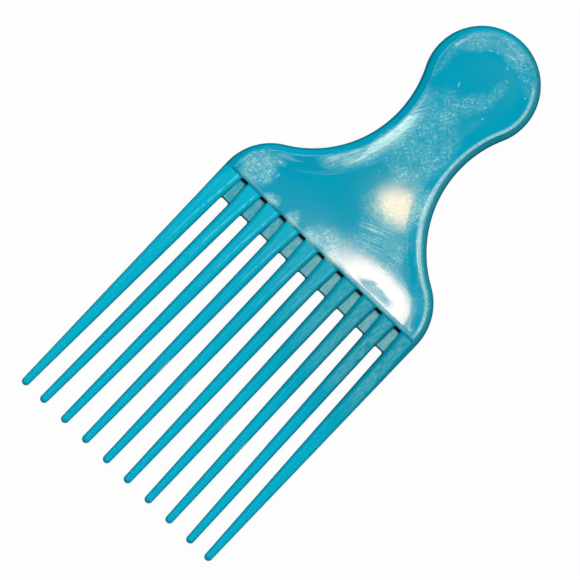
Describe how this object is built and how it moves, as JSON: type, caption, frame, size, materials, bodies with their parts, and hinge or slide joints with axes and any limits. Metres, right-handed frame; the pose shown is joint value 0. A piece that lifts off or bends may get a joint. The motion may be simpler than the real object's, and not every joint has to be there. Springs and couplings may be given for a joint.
{
  "type": "afro pick",
  "caption": "Moulded plastic hair pick: a row of long round-tipped teeth under a flared plate that narrows to a round thumb grip.",
  "frame": {"origin": "centre of the bounding box on the surface that the pick lies on, front face up", "axes": "+Y along the pick from the tooth tips to the round grip, X across the teeth, +Z out of the front face"},
  "size_m": [0.0754, 0.17, 0.0056],
  "materials": {
    "teal_gloss": "gloss, lightly scratched",
    "teal_matte": "matte, as moulded"
  },
  "bodies": {
    "root": {"handle": "teal_gloss", "tooth_01": "teal_gloss", "tooth_02": "teal_gloss", "tooth_03": "teal_gloss", "tooth_04": "teal_gloss", "tooth_05": "teal_gloss", "tooth_06": "teal_gloss", "tooth_07": "teal_gloss", "tooth_08": "teal_gloss", "tooth_09": "teal_gloss", "tooth_10": "teal_gloss", "web_01": "teal_matte", "web_02": "teal_matte", "web_03": "teal_matte", "web_04": "teal_matte", "web_05": "teal_matte", "web_06": "teal_matte", "web_07": "teal_matte", "web_08": "teal_matte", "web_09": "teal_matte"}
  },
  "joints": []
}
